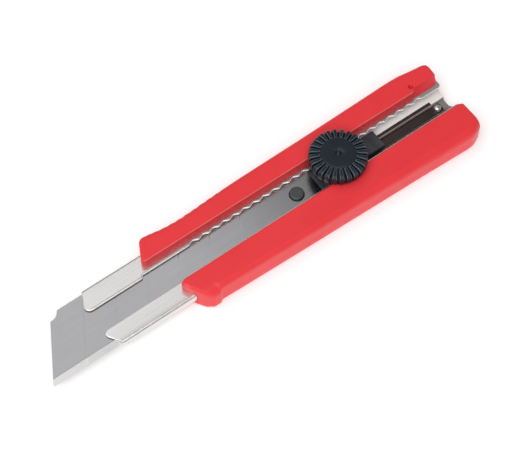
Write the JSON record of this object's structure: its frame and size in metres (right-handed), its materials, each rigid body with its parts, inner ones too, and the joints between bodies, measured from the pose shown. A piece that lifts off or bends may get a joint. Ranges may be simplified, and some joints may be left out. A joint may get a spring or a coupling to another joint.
{
  "type": "snap-off utility knife",
  "caption": "Heavy-duty snap-off utility knife: red moulded casing, stainless channel with wavy lock edge, sliding blade and screw-lock wheel.",
  "frame": {"origin": "on the flat back of the casing, on the channel's centreline, half way along the casing", "axes": "+X along the channel towards the blade tip, +Y across the blade towards its cutting edge, +Z out of the flat back towards the lock wheel"},
  "size_m": [0.193, 0.0392, 0.018],
  "materials": {
    "casing_plastic": "semi-gloss moulded red plastic",
    "stainless_sheet": "satin stainless sheet",
    "rivet_steel": "polished",
    "dark_plastic": "satin blue-black moulded plastic",
    "blackened_steel": "blackened",
    "blade_steel": "ground carbon steel",
    "bolt_steel": "zinc plated",
    "nut_brass": "turned"
  },
  "bodies": {
    "handle": {"casing": "casing_plastic", "blade_channel": "stainless_sheet", "channel_rivet": "rivet_steel"},
    "carriage": {"slider": "dark_plastic", "blade_pin": "blackened_steel", "blade": "blade_steel", "lock_bolt": "bolt_steel"},
    "washer": {"clamp_washer": "bolt_steel"},
    "wheel": {"lock_wheel": "dark_plastic", "wheel_nut": "nut_brass"}
  },
  "joints": [
    {"name": "blade_slide", "type": "slide", "parent": "handle", "child": "carriage", "axis": [1, 0, 0], "range_m": [-0.031, 0.072]},
    {"name": "wheel_lift", "type": "slide", "parent": "carriage", "child": "washer", "axis": [0, 0, 1], "range_m": [0, 0.0008]},
    {"name": "wheel_turn", "type": "hinge", "parent": "washer", "child": "wheel", "pos_m": [-0.01435, 0, 0.012], "axis": [0, 0, 1], "range_deg": [0, 360]}
  ],
  "couplings": [
    {"joint": "wheel_lift", "follows": "wheel_turn", "m_per_rad": 0.0001273}
  ]
}
